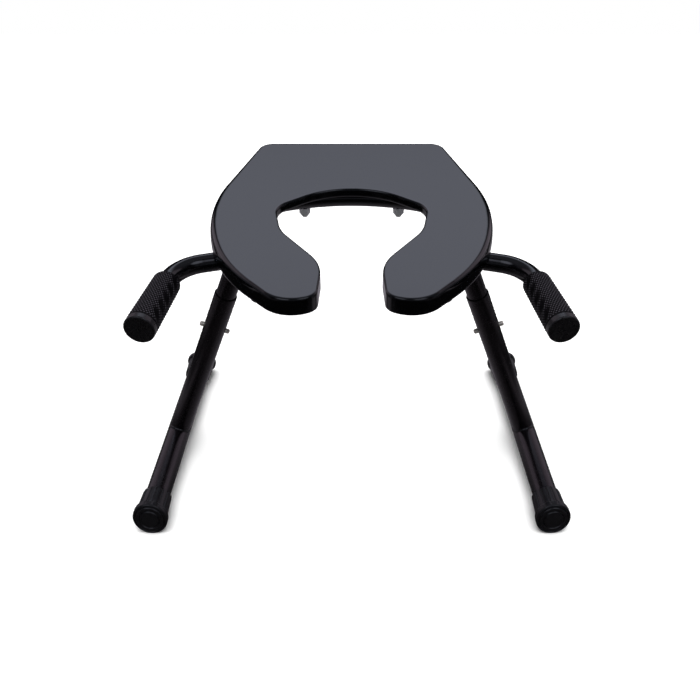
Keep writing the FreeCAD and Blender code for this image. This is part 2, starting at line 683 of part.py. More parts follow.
def pieces():
    """Every node by name."""
    nodes = {
        "seat": seat(),
        "seat_bolts": seat_bolts(),
        "saddle_washers": saddle_washers(),
        "lock_nuts": lock_nuts(),
        "lock_rings": lock_rings(),
        "seat_bumpers": bumpers(),
        "frame_tube": frame_tube(),
    }
    right_hand = {
        "post": post(),
        "post_weld": post_weld(),
        "grip": grip(),
        "grip_cap": grip_cap(),
        "spring_clip": spring_clip(),
        "outer_button": button(1),
        "inner_button": button(-1),
        "sleeve": sleeve(),
        "sleeve_weld": sleeve_weld(),
        "rail": rail(),
        "front_foot": foot(1),
        "rear_foot": foot(-1),
    }
    for name, shape in right_hand.items():
        nodes["right_" + name] = shape
        nodes["left_" + name] = mirror_x(shape)
    return nodes


def save_all():
    """Move every piece to the part's own origin and write it."""
    os.makedirs("parts", exist_ok=True)
    shift = V(0, -middle_y(), 0)
    for name, shape in pieces().items():
        shape.translate(shift)
        shape.exportStep("parts/" + name + ".step")
        print(name, "solids", len(shape.Solids), "volume", round(shape.Volume, 1),
              "valid", shape.isValid())
    print("post plane at y =", round(shift.y, 3))


save_all()
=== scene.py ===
"""The looks of a height-adjustable shower stool, built round its packed construction model.

The construction model gives every piece at its real size and place. This script adds the
finishes, the moulded detail of the grips and feet, the sleeves' weld beads and a plain
studio. Lengths are in metres in the model's own frame: +Z up, the open front towards -Y,
and the origin on the floor under the middle of the stool. Angles are in degrees where a
field holds one.
"""

import logging
import math
from dataclasses import dataclass, field
from enum import Enum, auto
from functools import reduce
from typing import ClassVar

import bpy
import numpy as np
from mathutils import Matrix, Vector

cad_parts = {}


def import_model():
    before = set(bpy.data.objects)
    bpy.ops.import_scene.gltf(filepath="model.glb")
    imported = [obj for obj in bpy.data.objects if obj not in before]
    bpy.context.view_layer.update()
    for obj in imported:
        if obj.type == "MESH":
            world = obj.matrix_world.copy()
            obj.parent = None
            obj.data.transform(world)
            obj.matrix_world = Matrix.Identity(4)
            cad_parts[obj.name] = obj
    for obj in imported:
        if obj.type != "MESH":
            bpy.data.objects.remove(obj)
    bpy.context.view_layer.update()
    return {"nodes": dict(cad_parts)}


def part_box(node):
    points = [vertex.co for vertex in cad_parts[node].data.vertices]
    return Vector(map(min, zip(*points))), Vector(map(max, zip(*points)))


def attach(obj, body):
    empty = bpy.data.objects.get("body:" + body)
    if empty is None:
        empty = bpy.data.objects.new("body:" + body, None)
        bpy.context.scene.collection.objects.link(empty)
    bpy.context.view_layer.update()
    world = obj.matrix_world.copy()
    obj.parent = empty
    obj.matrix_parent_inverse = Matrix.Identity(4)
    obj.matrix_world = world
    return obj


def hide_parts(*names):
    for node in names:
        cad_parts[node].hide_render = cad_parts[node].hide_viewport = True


LOG = logging.getLogger("stool")
MM = 0.001
RELIEF_LAYER = "relief"

Socket = bpy.types.NodeSocket
Colour = tuple[float, float, float]
Place = tuple[float, float, float]
WHITE: Colour = (1.0, 1.0, 1.0)


class Side(Enum):
    """The two mirror-image halves; the value is the sign of X."""

    RIGHT = 1
    LEFT = -1

    @property
    def prefix(self) -> str:
        """The start of the side's node names."""
        return self.name.lower()


class End(Enum):
    """The two ends of a floor rail; the value is the sign of Y."""

    FRONT = -1
    REAR = 1

    @property
    def prefix(self) -> str:
        """The word for this end in node names."""
        return self.name.lower()


class Along(Enum):
    """A coordinate that a lit region is bounded along: z, y, |x|, or |x| and a slope."""

    UP = auto()
    BACK = auto()
    ASIDE = auto()
    SLANTED = auto()


# ---------------------------------------------------------------------------
# Node trees
# ---------------------------------------------------------------------------
@dataclass(frozen=True)
class Step:
    """A ramp along one coordinate: first up to start, last from stop, straight between."""

    along: Along
    start: float
    stop: float
    first: float
    last: float


Region = tuple[Step, ...]


class Graph:
    """A node tree, with short calls for what the finishes and the surroundings share."""

    def __init__(self, tree: bpy.types.NodeTree, kind: str) -> None:
        """Take over a tree and leave only its output node.

        Args:
            tree: The node tree, which is emptied.
            kind: The word in its output node's type, such as World.
        """
        self.tree = tree
        self.tree.nodes.clear()
        self.output = self.new("Output" + kind)

    def new(self, kind: str) -> bpy.types.Node:
        """Add a shader node by its short type name."""
        return self.tree.nodes.new("ShaderNode" + kind)

    def join(self, source: Socket, target: Socket) -> None:
        """Link one socket to another."""
        self.tree.links.new(source, target)

    def place(self) -> Socket:
        """The point's place in its object's own frame."""
        return self.new("TexCoord").outputs["Object"]

    def split(self, vector: Socket) -> bpy.types.Node:
        """A vector's three parts.

        Args:
            vector: The vector's socket.

        Returns:
            A node with the parts on its X, Y and Z outputs.
        """
        node = self.new("SeparateXYZ")
        self.join(vector, node.inputs["Vector"])
        return node

    def feed(self, value: Socket | float | Colour, target: Socket) -> None:
        """Give a socket a link, a plain number or a colour.

        Args:
            value: A socket, a number, or linear RGB.
            target: The socket that takes it.
        """
        if isinstance(value, Socket):
            self.join(value, target)
        elif isinstance(value, tuple):
            target.default_value = (*value, 1.0)
        else:
            target.default_value = value

    def math(self, operation: str, *values: Socket | float) -> Socket:
        """One step of arithmetic.

        Args:
            operation: The Math node's operation.
            *values: Sockets or numbers, in the node's order.

        Returns:
            The result's socket.
        """
        node = self.new("Math")
        node.operation = operation
        for value, target in zip(values, node.inputs):
            self.feed(value, target)
        return node.outputs["Value"]

    def choose(self, share: Socket, first: Socket | float, second: Socket | float) -> Socket:
        """Mix two values.

        Args:
            share: How much of the second, from 0 to 1.
            first: The value at 0.
            second: The value at 1.

        Returns:
            The mixed value's socket.
        """
        node = self.new("Mix")
        self.join(share, node.inputs["Factor"])
        self.feed(first, node.inputs["A"])
        self.feed(second, node.inputs["B"])
        return node.outputs["Result"]

    def region(self, axes: dict[Along, Socket], steps: Region) -> Socket:
        """A lit region, as the product of its steps.

        Args:
            axes: The coordinates' sockets.
            steps: The region's steps.

        Returns:
            The brightness's socket.
        """
        ramps = [self.spread(axes[step.along], step.first, step.last, step.start, step.stop)
                 for step in steps]
        return reduce(lambda lit, ramp: self.math("MULTIPLY", lit, ramp), ramps)

    def brightest(self, axes: dict[Along, Socket], regions: tuple[Region, ...]) -> Socket:
        """The brightest of several regions at each point.

        Args:
            axes: The coordinates' sockets.
            regions: Each region's steps.

        Returns:
            The brightness's socket.
        """
        lit = [self.region(axes, steps) for steps in regions]
        return reduce(lambda one, other: self.math("MAXIMUM", one, other), lit)

    def either(self, share: Socket, first: Socket, second: Socket) -> Socket:
        """Mix two shaders.

        Args:
            share: How much of the second, from 0 to 1.
            first: The shader at 0.
            second: The shader at 1.

        Returns:
            The mixed shader's socket.
        """
        node = self.new("MixShader")
        for source, target in zip((share, first, second), node.inputs):
            self.join(source, target)
        return node.outputs["Shader"]

    def glow(self, kind: str, strength: Socket, colour: Socket | Colour) -> Socket:
        """A shader that gives light.

        Args:
            kind: Emission, or Background in a world.
            strength: How bright it is.
            colour: A socket, or linear RGB.

        Returns:
            The shader's socket.
        """
        node = self.new(kind)
        self.join(strength, node.inputs["Strength"])
        self.feed(colour, node.inputs["Color"])
        return node.outputs[0]

    def noise(self, size: float, detail: float, rough: float = 0.5) -> Socket:
        """Fractal noise over the object's own coordinates.

        Args:
            size: The width of one blotch in metres.
            detail: The number of octaves.
            rough: The share that each octave keeps.

        Returns:
            The noise's value socket.
        """
        node = self.new("TexNoise")
        node.inputs["Scale"].default_value = 1.0 / size
        node.inputs["Detail"].default_value = detail
        node.inputs["Roughness"].default_value = rough
        self.join(self.place(), node.inputs["Vector"])
        return node.outputs["Fac"]

    def spread(self, value: Socket, low: float, high: float,
               start: float = 0.3, stop: float = 0.7) -> Socket:
        """Map a value's range on to another, held at both ends.

        Args:
            value: The socket to map.
            low: The result where value is start or less.
            high: The result where value is stop or more.
            start: The lower end of the input range.
            stop: The upper end of the input range.

        Returns:
            The mapped socket.
        """
        node = self.new("MapRange")
        node.inputs["From Min"].default_value = start
        node.inputs["From Max"].default_value = stop
        node.inputs["To Min"].default_value = low
        node.inputs["To Max"].default_value = high
        self.join(value, node.inputs["Value"])
        return node.outputs["Result"]

    def blend(self, amount: Socket, first: Socket | Colour, second: Colour) -> Socket:
        """Mix two colours.

        Args:
            amount: The share of the second colour.
            first: A socket, or linear RGB.
            second: Linear RGB.

        Returns:
            The mixed colour's socket.
        """
        node = self.new("Mix")
        node.data_type = "RGBA"
        self.feed(first, node.inputs["A"])
        self.feed(second, node.inputs["B"])
        self.join(amount, node.inputs["Factor"])
        return node.outputs["Result"]

    def bump(self, height: Socket, depth: float, strength: float,
             below: Socket | None = None) -> Socket:
        """Turn a height into a bumped normal.

        Args:
            height: The height, 0 to 1.
            depth: The real depth of the relief in metres.
            strength: How much of it shows.
            below: A normal that this one is laid over.

        Returns:
            The normal socket.
        """
        node = self.new("Bump")
        node.inputs["Strength"].default_value = strength
        node.inputs["Distance"].default_value = depth
        self.join(height, node.inputs["Height"])
        if below is not None:
            self.join(below, node.inputs["Normal"])
        return node.outputs["Normal"]


class MaterialGraph(Graph):
    """The node tree of a new material, with a Principled shader on its surface."""

    def __init__(self, name: str) -> None:
        """Start the material.

        Args:
            name: The material's name.
        """
        self.material = bpy.data.materials.new(name)
        self.material.use_nodes = True
        super().__init__(self.material.node_tree, "Material")
        self.shader = self.new("BsdfPrincipled")
        self.join(self.shader.outputs["BSDF"], self.output.inputs["Surface"])

    def fixed(self, **values: float | tuple[float, ...]) -> None:
        """Set constant values on the shader's own sockets.

        Args:
            **values: Socket names with underscores for spaces, and their values.
        """
        for name, value in values.items():
            self.shader.inputs[name.replace("_", " ")].default_value = value


@dataclass(frozen=True)
class Finish:
    """A finish with two close colours, a roughness range and fine relief.

    patch and grain are the widths of one blotch of colour and of one bump, smooth and rough
    the ends of the roughness, relief and strength the depth of the bumps and how much of it
    shows, tint the colour of the shine, soft_edge the radius over which shading rounds an
    edge, and rubbed a paler colour painted on the tops of a piece's relief as
    a painted highlight, where light would catch them. The roughness varies over blotches of
    SHEEN_SHARE times the patch.
    """

    name: str
    colour: Colour
    second: Colour
    patch: float
    smooth: float
    rough: float
    grain: float
    relief: float
    strength: float = 0.5
    specular: float = 0.5
    metallic: float = 0.0
    tint: Colour = WHITE
    soft_edge: float = 0.0
    # Painted highlight: a paler colour for the tops of the relief, where light would catch them.
    rubbed: Colour | None = None

    PATCH_OCTAVES: ClassVar[float] = 4.0
    SHEEN_OCTAVES: ClassVar[float] = 5.0
    SHEEN_ROUGH: ClassVar[float] = 0.6
    SHEEN_SHARE: ClassVar[float] = 0.35
    GRAIN_OCTAVES: ClassVar[float] = 2.0
    EDGE_SAMPLES: ClassVar[int] = 8
    TOP_HIGHLIGHT_RANGE: ClassVar[tuple[float, float]] = (0.35, 0.9)

    def colours(self, graph: Graph) -> Socket:
        """The colour over the surface: soft patches, and a painted highlight that makes the relief's tops
        paler.

        Args:
            graph: The material's node tree.

        Returns:
            The colour's socket.
        """
        patches = graph.spread(graph.noise(self.patch, self.PATCH_OCTAVES), 0.0, 1.0)
        mixed = graph.blend(patches, self.colour, self.second)
        if self.rubbed is None:
            return mixed
        # Painted highlight: the relief's tops are painted paler, where light would catch them.
        relief = graph.new("Attribute")
        relief.attribute_name = RELIEF_LAYER
        tops = graph.spread(relief.outputs["Fac"], 0.0, 1.0, *self.TOP_HIGHLIGHT_RANGE)
        return graph.blend(tops, mixed, self.rubbed)

    def material(self) -> bpy.types.Material:
        """The finish's material, made once.

        Returns:
            A material whose colour and roughness vary softly over each piece.
        """
        known = bpy.data.materials.get(self.name)
        if known is not None:
            return known
        graph = MaterialGraph(self.name)
        graph.join(self.colours(graph), graph.shader.inputs["Base Color"])
        sheen = graph.noise(self.patch * self.SHEEN_SHARE, self.SHEEN_OCTAVES, self.SHEEN_ROUGH)
        graph.join(graph.spread(sheen, self.smooth, self.rough), graph.shader.inputs["Roughness"])
        eased = None
        if self.soft_edge:
            edge = graph.new("Bevel")
            edge.samples = self.EDGE_SAMPLES
            edge.inputs["Radius"].default_value = self.soft_edge
            eased = edge.outputs["Normal"]
        grain = graph.noise(self.grain, self.GRAIN_OCTAVES)
        graph.join(graph.bump(grain, self.relief, self.strength, eased), graph.shader.inputs["Normal"])
        graph.fixed(Metallic=self.metallic, Specular_IOR_Level=self.specular,
                    Specular_Tint=(*self.tint, 1.0))
        return graph.material


SEAT_PLASTIC = Finish(
    "moulded_seat_plastic", colour=(0.0003, 0.0004, 0.0006), second=(0.0009, 0.0011, 0.0015),
    patch=60.0 * MM, smooth=0.040, rough=0.070, grain=4.0 * MM, relief=0.03 * MM, strength=0.20,
    soft_edge=3.0 * MM)
ARM_COAT = Finish(
    "gloss_tube_coat", colour=(0.0006, 0.0006, 0.0009), second=(0.0012, 0.0011, 0.0016),
    patch=30.0 * MM, smooth=0.10, rough=0.16, grain=1.6 * MM, relief=0.03 * MM, strength=0.30)
LEG_COAT = Finish(
    "satin_tube_coat", colour=(0.0010, 0.0008, 0.0011), second=(0.0022, 0.0018, 0.0024),
    patch=30.0 * MM, smooth=0.20, rough=0.29, grain=1.2 * MM, relief=0.04 * MM, strength=0.45,
    tint=(1.0, 0.90, 0.96))
WELD_COAT = Finish(
    "painted_weld", colour=(0.0024, 0.0022, 0.0026), second=(0.0042, 0.0040, 0.0046),
    patch=4.0 * MM, smooth=0.18, rough=0.32, grain=0.9 * MM, relief=0.08 * MM, strength=0.7)
# The knurl's tops are painted paler: a painted highlight where light would catch them.
GRIP_RUBBER = Finish(
    "knurled_rubber", colour=(0.0005, 0.0005, 0.0007), second=(0.0012, 0.0010, 0.0014),
    patch=6.0 * MM, smooth=0.42, rough=0.55, grain=0.6 * MM, relief=0.03 * MM,
    specular=0.08, rubbed=(0.074, 0.068, 0.082))
CAP_RUBBER = Finish(
    "smooth_rubber", colour=(0.0045, 0.0040, 0.0048), second=(0.0065, 0.0060, 0.0070),
    patch=10.0 * MM, smooth=0.24, rough=0.34, grain=1.2 * MM, relief=0.01 * MM, strength=0.06)
FOOT_RUBBER = Finish(
    "ringed_foot_rubber", colour=(0.0030, 0.0029, 0.0038), second=(0.0048, 0.0046, 0.0058),
    patch=12.0 * MM, smooth=0.28, rough=0.35, grain=0.8 * MM, relief=0.05 * MM, strength=0.6,
    specular=0.40)
BUMPER_RUBBER = Finish(
    "seat_bumper_rubber", colour=(0.0020, 0.0020, 0.0022), second=(0.0034, 0.0034, 0.0036),
    patch=6.0 * MM, smooth=0.45, rough=0.60, grain=0.6 * MM, relief=0.04 * MM, strength=0.6)
ZINC = Finish(
    "zinc_plate", colour=(0.50, 0.50, 0.53), second=(0.38, 0.38, 0.41),
    patch=3.0 * MM, smooth=0.30, rough=0.48, grain=0.4 * MM, relief=0.02 * MM, strength=0.4,
    metallic=0.35)
NICKEL = Finish(
    "nickel_plate", colour=(0.72, 0.68, 0.62), second=(0.58, 0.55, 0.51),
    patch=3.0 * MM, smooth=0.14, rough=0.26, grain=0.4 * MM, relief=0.01 * MM, strength=0.3,
    metallic=0.6)
SPRING_STEEL = Finish(
    "clip_spring_steel", colour=(0.36, 0.37, 0.39), second=(0.28, 0.29, 0.31),
    patch=4.0 * MM, smooth=0.25, rough=0.40, grain=0.5 * MM, relief=0.01 * MM, strength=0.3,
    metallic=1.0)
NYLON = Finish(
    "white_nylon", colour=(0.45, 0.46, 0.47), second=(0.38, 0.39, 0.41),
    patch=4.0 * MM, smooth=0.40, rough=0.55, grain=0.5 * MM, relief=0.02 * MM, strength=0.4)


# ---------------------------------------------------------------------------
# Studio
# ---------------------------------------------------------------------------
@dataclass(frozen=True)
class Lamp:
    """A square soft light that reflections don't show."""

    name: str
    place: Place
    aim: Place
    size: float
    watts: float

    def build(self) -> None:
        """Hang the lamp and turn it to what it lights."""
        data = bpy.data.lights.new(self.name, "AREA")
        data.size = self.size
        data.energy = self.watts
        lamp = bpy.data.objects.new(self.name, data)
        away = np.array(self.place) - np.array(self.aim)
        yaw = math.atan2(away[1], away[0]) + math.pi / 2
        tilt = math.acos(away[2] / np.linalg.norm(away))
        lamp.location = self.place
        lamp.rotation_euler = (tilt, 0.0, yaw)
        lamp.visible_glossy = False
        bpy.context.collection.objects.link(lamp)


@dataclass
class Studio:
    """The camera, the pale floor, the white surroundings and soft lights.

    eye_back is the camera's distance in front of the posts, down_deg how far it looks down
    and shift the sensor's offset in frames. near_glow is the floor's own light close to the
    stool, which grows to 1 over glow_grows. That light carries a painted contact shadow:
    contact_reach is how near a piece darkens it and contact_range the openness over which it
    comes back.

    Reflections see a dim room of their own, never darker than gloom: regions of the sky,
    bounded along a direction's parts, and regions of the floor, bounded along a place's. The
    slant is the share of z in the sky, or of y on the floor, that a slanted edge adds to |x|.
    """

    post_plane: float
    focal_mm: float = 36.0
    sensor_mm: float = 36.0
    eye_back: float = 0.730
    eye_height: float = 0.7475
    down_deg: float = 38.34
    shift: tuple[float, float] = (-0.0023, 0.0007)

    floor_size: float = 4.4
    floor_white: float = 0.85
    floor_rough: float = 0.9
    near_glow: float = 0.62
    glow_grows: tuple[float, float] = (0.6, 1.4)
    contact_reach: float = 42.0 * MM
    contact_samples: int = 24
    contact_range: tuple[float, float] = (0.34, 0.82)
    floor_tint: Colour = (1.0, 0.93, 1.04)
    floor_slant: float = -0.6

    ambient: float = 0.14
    panel_tint: Colour = (0.92, 0.96, 1.14)
    wing_tint: Colour = (1.0, 0.88, 1.03)
    sky_slant: float = 0.5
    patch_glow: float = 1.5
    patch_way: Place = (0.40, -0.45, 0.80)
    patch_edge: tuple[float, float] = (0.950, 0.985)
    gloom: float = 0.008

    # The big panel behind brightens up to 33 degrees, dims from 39 and ends at 72.
    panel: Region = (
        Step(Along.UP, 0.19, 0.55, 0.0, 1.35),
        Step(Along.UP, 0.63, 0.75, 1.0, 0.10),
        Step(Along.BACK, 0.0, 0.30, 0.0, 1.0),
        Step(Along.ASIDE, 0.20, 0.30, 1.0, 0.0),
        Step(Along.UP, 0.80, 0.95, 1.0, 0.0),
    )
    # A low screen stands at each side of it, with an inner edge that leans in.
    wings: Region = (
        Step(Along.SLANTED, 0.55, 0.68, 0.0, 0.62),
        Step(Along.ASIDE, 0.86, 0.94, 1.0, 0.0),
        Step(Along.UP, 0.62, 0.76, 1.0, 0.0),
        Step(Along.BACK, 0.10, 0.30, 0.0, 1.0),
    )
    # Faint light overhead, in front and at both sides shapes the dark pieces all round.
    faint: tuple[Region, ...] = (
        (Step(Along.UP, 0.30, 1.0, 0.0, 0.25), Step(Along.BACK, -0.30, 0.0, 0.0, 1.0)),
        (Step(Along.BACK, -0.70, -0.40, 0.12, 0.0), Step(Along.UP, 0.05, 0.20, 0.0, 1.0)),
        (Step(Along.ASIDE, 0.86, 0.94, 0.0, 0.20),),
    )
    # The floor is lit in a wedge that opens towards the back, a dim patch in front, a strip
    # far out on each side, and a yard beside each leg.
    lit_floor: tuple[Region, ...] = (
        (Step(Along.SLANTED, 0.20, 0.36, 1.0, 0.0), Step(Along.BACK, -0.36, 0.06, 0.12, 1.0),
         Step(Along.BACK, -0.55, -0.42, 0.0, 1.0), Step(Along.BACK, 0.45, 0.78, 0.30, 0.0)),
        (Step(Along.ASIDE, 0.40, 0.50, 0.05, 0.0), Step(Along.BACK, -0.58, -0.46, 0.0, 1.0)),
        (Step(Along.ASIDE, 0.84, 0.92, 0.0, 0.32), Step(Along.ASIDE, 1.10, 1.20, 1.0, 0.0)),
        (Step(Along.ASIDE, 0.34, 0.42, 0.0, 0.26), Step(Along.ASIDE, 0.50, 0.56, 1.0, 0.0),
         Step(Along.BACK, 0.02, 0.14, 1.0, 0.0), Step(Along.BACK, -0.36, -0.24, 0.0, 1.0)),
    )
    lamps: tuple[Lamp, ...] = (
        Lamp("overhead", place=(0.0, 0.3, 2.4), aim=(0.0, 0.1, 0.0), size=2.4, watts=62.0),
        Lamp("left_side", place=(-2.2, -0.3, 1.2), aim=(0.0, 0.0, 0.3), size=1.2, watts=10.0),
        Lamp("right_side", place=(2.2, -0.3, 1.2), aim=(0.0, 0.0, 0.3), size=1.2, watts=10.0),
    )

    def build(self) -> None:
        """Make everything that isn't part of the stool."""
        self.camera()
        self.floor()
        self.surroundings()
        for lamp in self.lamps:
            lamp.build()

    def camera(self) -> None:
        """A camera in front of the stool that looks down on it."""
        data = bpy.data.cameras.new("camera")
        data.lens = self.focal_mm
        data.sensor_width = self.sensor_mm
        data.shift_x, data.shift_y = self.shift
        camera = bpy.data.objects.new("camera", data)
        camera.location = (0.0, self.post_plane - self.eye_back, self.eye_height)
        camera.rotation_euler = (math.radians(90.0 - self.down_deg), 0.0, 0.0)
        bpy.context.collection.objects.link(camera)
        bpy.context.scene.camera = camera

    def axes(self, graph: Graph, vector: Socket, second: Along, slant: float) -> dict[Along, Socket]:
        """The coordinates that regions are bounded along.

        Args:
            graph: The node tree.
            vector: A place on the floor, or the direction looked in.
            second: The coordinate that the slanted one mixes with |x|.
            slant: How much of it.

        Returns:
            Their sockets.
        """
        part = graph.split(vector)
        aside = graph.math("ABSOLUTE", part.outputs["X"])
        axes = {Along.UP: part.outputs["Z"], Along.BACK: part.outputs["Y"], Along.ASIDE: aside}
        axes[Along.SLANTED] = graph.math("ADD", aside, graph.math("MULTIPLY", axes[second], slant))
        return axes

    def floor(self) -> None:
        """A pale floor, white but for its real shadow and a painted contact shadow; open from below, and
        reflections see parts of it lit.
        """
        half = self.floor_size / 2
        mesh = bpy.data.meshes.new("floor")
        mesh.from_pydata([(-half, -half, 0), (half, -half, 0), (half, half, 0), (-half, half, 0)],
                         [], [(0, 1, 2, 3)])
        plane = bpy.data.objects.new("floor", mesh)
        bpy.context.collection.objects.link(plane)
        graph = MaterialGraph("pale_floor")
        graph.fixed(Roughness=self.floor_rough, Specular_IOR_Level=0.0,
                    Base_Color=(*[self.floor_white] * 3, 1.0))
        rays = graph.new("LightPath")
        # Camera rays see the floor's own glow, with a painted contact shadow near the stool.
        white = graph.math("MULTIPLY", rays.outputs["Is Camera Ray"], self.contact(graph))
        lit = graph.new("AddShader")
        graph.join(graph.shader.outputs["BSDF"], lit.inputs[0])
        graph.join(graph.glow("Emission", white, WHITE), lit.inputs[1])
        axes = self.axes(graph, graph.place(), Along.BACK, self.floor_slant)
        patches = graph.brightest(axes, self.lit_floor)
        mirrored = graph.glow("Emission", graph.math("ADD", patches, self.gloom), self.floor_tint)
        above = graph.either(rays.outputs["Is Glossy Ray"], lit.outputs["Shader"], mirrored)
        whole = graph.either(graph.new("NewGeometry").outputs["Backfacing"], above,
                             graph.new("BsdfTransparent").outputs["BSDF"])
        graph.join(whole, graph.output.inputs["Surface"])
        mesh.materials.append(graph.material)

    def contact(self, graph: Graph) -> Socket:
        """The floor's own white, which fades close under the stool in a painted contact shadow and grows
        far from it.

        Args:
            graph: The floor's node tree.

        Returns:
            Its strength.
        """
        open_sky = graph.new("AmbientOcclusion")
        open_sky.samples = self.contact_samples
        open_sky.inputs["Distance"].default_value = self.contact_reach
        # Painted contact shadow: the glow fades where pieces close by hide the open sky.
        clear = graph.spread(open_sky.outputs["AO"], 0.0, 1.0, *self.contact_range)
        away = graph.new("VectorMath")
        away.operation = "LENGTH"
        graph.join(graph.place(), away.inputs[0])
        grown = graph.spread(away.outputs["Value"], self.near_glow, 1.0, *self.glow_grows)
        return graph.math("MULTIPLY", clear, grown)

    def surroundings(self) -> None:
        """White in view and an even soft light; reflections see panels in a dark room."""
        world = bpy.data.worlds.new("studio")
        world.use_nodes = True
        bpy.context.scene.world = world
        graph = Graph(world.node_tree, "World")
        rays = graph.new("LightPath")
        way = graph.new("TexCoord").outputs["Generated"]
        axes = self.axes(graph, way, Along.UP, self.sky_slant)
        panel, wings = graph.region(axes, self.panel), graph.region(axes, self.wings)
        lit = graph.math("ADD", graph.math("MAXIMUM", panel, wings), self.patch_light(graph, way))
        lit = graph.math("MAXIMUM", lit, graph.brightest(axes, self.faint))
        tint = graph.blend(graph.math("GREATER_THAN", wings, panel), self.panel_tint, self.wing_tint)
        mirrored = graph.glow("Background", graph.math("ADD", lit, self.gloom), tint)
        bright = graph.choose(rays.outputs["Is Camera Ray"], self.ambient, 1.0)
        plain = graph.glow("Background", bright, WHITE)
        graph.join(graph.either(rays.outputs["Is Glossy Ray"], plain, mirrored),
                   graph.output.inputs["Surface"])

    def patch_light(self, graph: Graph, way: Socket) -> Socket:
        """A small soft light high in front at each side.

        Args:
            graph: The world's node tree.
            way: The direction looked in.

        Returns:
            The patches' brightness, from the cosine to their middles.
        """
        part = graph.split(way)
        turned = graph.new("CombineXYZ")
        graph.join(graph.math("ABSOLUTE", part.outputs["X"]), turned.inputs["X"])
        graph.join(part.outputs["Y"], turned.inputs["Y"])
        graph.join(part.outputs["Z"], turned.inputs["Z"])
        near = graph.new("VectorMath")
        near.operation = "DOT_PRODUCT"
        graph.join(turned.outputs["Vector"], near.inputs[0])
        near.inputs[1].default_value = self.patch_way
        return graph.spread(near.outputs["Value"], 0.0, self.patch_glow, *self.patch_edge)


# ---------------------------------------------------------------------------
# Shapes
# ---------------------------------------------------------------------------
@dataclass(frozen=True)
class Line:
    """A straight axis with two directions square to it, for pieces drawn round it."""

    origin: np.ndarray
    along: np.ndarray
    out: np.ndarray

    @property
    def across(self) -> np.ndarray:
        """The third direction, square to the other two."""
        return np.cross(self.along, self.out)

    def points(self, distance: np.ndarray, radius: np.ndarray, turn: np.ndarray) -> np.ndarray:
        """Points round the axis: origin + s along + r (cos t out + sin t across).

        Args:
            distance: How far along the axis, s.
            radius: How far from it, r.
            turn: The angle from the out direction in radians, t.

        Returns:
            An array of the inputs' common shape with a last axis of three.
        """
        s, r, t = (value[..., None] for value in np.broadcast_arrays(distance, radius, turn))
        return self.origin + s * self.along + r * (np.cos(t) * self.out + np.sin(t) * self.across)


class Skin:
    """Makes smooth pieces from grids of points."""

    SHARP: float = math.radians(40.0)

    @classmethod
    def wrapped(cls, name: str, grid: np.ndarray, finish: Finish,
                height: np.ndarray | None = None) -> bpy.types.Object:
        """A piece whose grid closes on itself round its columns.

        Args:
            name: The piece's name.
            grid: Points by row, column and axis, with the outside on the right of a row's run.
            finish: The finish that it wears.
            height: A 0 to 1 height of the relief by row and column, which the finish reads to paint a
                highlight on the relief's tops.

        Returns:
            The new piece.
        """
        rows, columns = grid.shape[:2]
        here = np.arange(rows * columns).reshape(rows, columns)
        ahead = np.roll(here, -1, axis=1)
        faces = np.stack([here[:-1], ahead[:-1], ahead[1:], here[1:]], axis=-1).reshape(-1, 4)
        mesh = bpy.data.meshes.new(name)
        mesh.from_pydata(grid.reshape(-1, 3), [], faces)
        mesh.polygons.foreach_set("use_smooth", np.ones(len(faces), dtype=bool))
        mesh.set_sharp_from_angle(angle=cls.SHARP)
        if height is not None:
            layer = mesh.attributes.new(RELIEF_LAYER, "FLOAT", "POINT")
            layer.data.foreach_set("value", height.astype(np.float32).ravel())
        mesh.materials.append(finish.material())
        piece = bpy.data.objects.new(name, mesh)
        bpy.context.collection.objects.link(piece)
        LOG.info("%s: %d points", name, rows * columns)
        return piece


def smooth_step(value: np.ndarray, start: float, stop: float) -> np.ndarray:
    """A soft 0 to 1 ramp: 3u^2 - 2u^3 between two values."""
    share = np.clip((value - start) / (stop - start), 0.0, 1.0)
    return share * share * (3.0 - 2.0 * share)


def unit(rows: np.ndarray) -> np.ndarray:
    """Each row at a length of one."""
    return rows / np.linalg.norm(rows, axis=1, keepdims=True)


def square_to(rows: np.ndarray, way: np.ndarray) -> np.ndarray:
    """What is left of each row when its part along a unit direction is taken away."""
    return rows - (rows @ way)[:, None] * way


def full_turn(steps: int) -> np.ndarray:
    """Even angles round a circle in radians."""
    return np.linspace(0.0, math.tau, steps, endpoint=False)


def revolved(profile: np.ndarray, columns: int) -> tuple[np.ndarray, np.ndarray, np.ndarray]:
    """A profile taken round its axis.

    Args:
        profile: Distance along the axis and radius, by row.
        columns: How many angles.

    Returns:
        Distance and radius by row and column, and the angles in one row.
    """
    turn = full_turn(columns)[None, :]
    return profile[:, :1] + 0.0 * turn, profile[:, 1:] + 0.0 * turn, turn


def arc_run(centre: tuple[float, float], radius: float, start: float, stop: float,
            steps: int) -> np.ndarray:
    """Profile points on an arc: centre + r (cos a, sin a) for a from start to stop.

    Args:
        centre: The arc's centre, as distance along and radius.
        radius: The arc's radius.
        start: The first angle in degrees.
        stop: The last angle in degrees.
        steps: How many points.

    Returns:
        An array of two columns.
    """
    turn = np.radians(np.linspace(start, stop, steps))
    return np.stack([centre[0] + radius * np.cos(turn), centre[1] + radius * np.sin(turn)], axis=-1)


